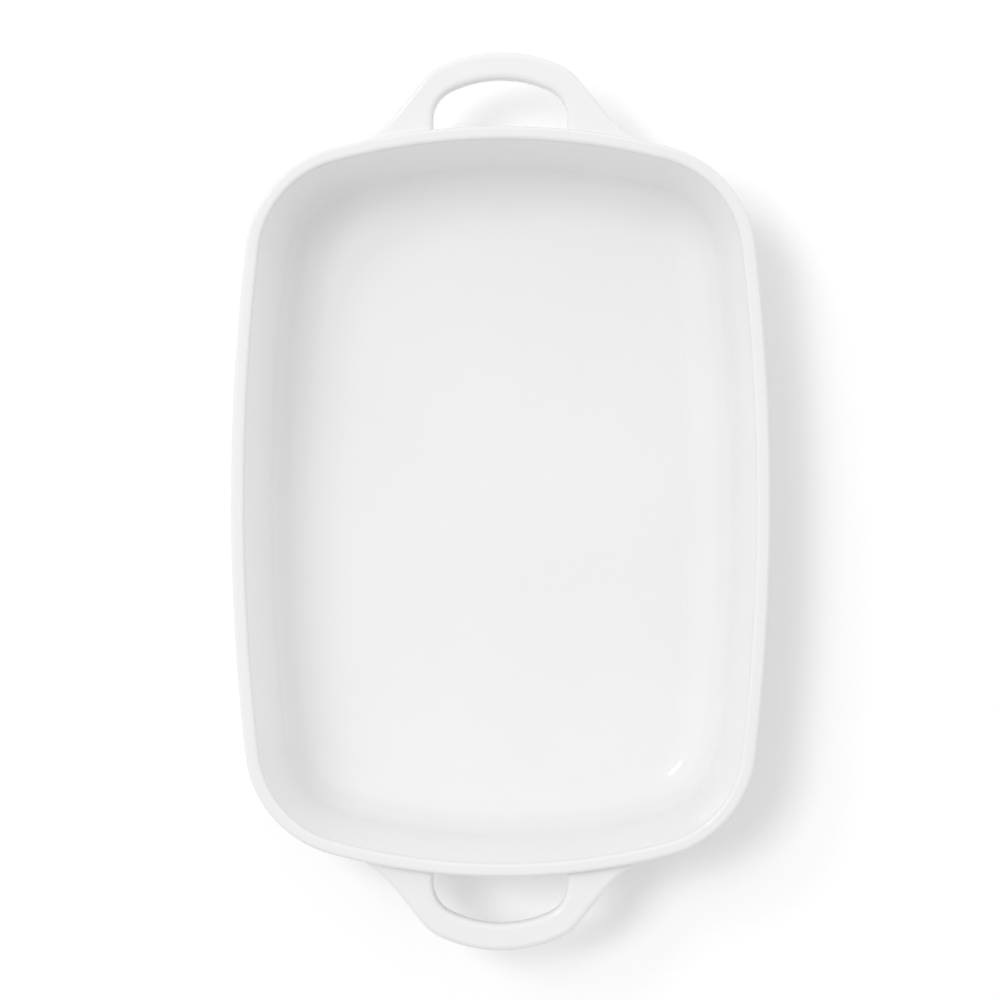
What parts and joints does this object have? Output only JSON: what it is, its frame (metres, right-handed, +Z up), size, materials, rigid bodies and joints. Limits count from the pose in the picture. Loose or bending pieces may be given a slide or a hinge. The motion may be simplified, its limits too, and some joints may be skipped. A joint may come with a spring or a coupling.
{
  "type": "lasagna dish",
  "caption": "Oblong ceramic baking dish with flared, bowed walls, a coved floor, a foot ring and a loop handle luted to each short end.",
  "frame": {"origin": "on the table, under the middle of the dish", "axes": "+Z up, +Y along the dish to the back handle, +X across it"},
  "size_m": [0.2402, 0.402, 0.068],
  "materials": {
    "glaze": "glossy white glaze",
    "slip": "fired slip under the same white glaze"
  },
  "bodies": {
    "root": {"dish_body": "glaze", "back_handle": "glaze", "front_handle": "glaze", "back_handle_slip": "slip", "front_handle_slip": "slip"}
  },
  "joints": []
}
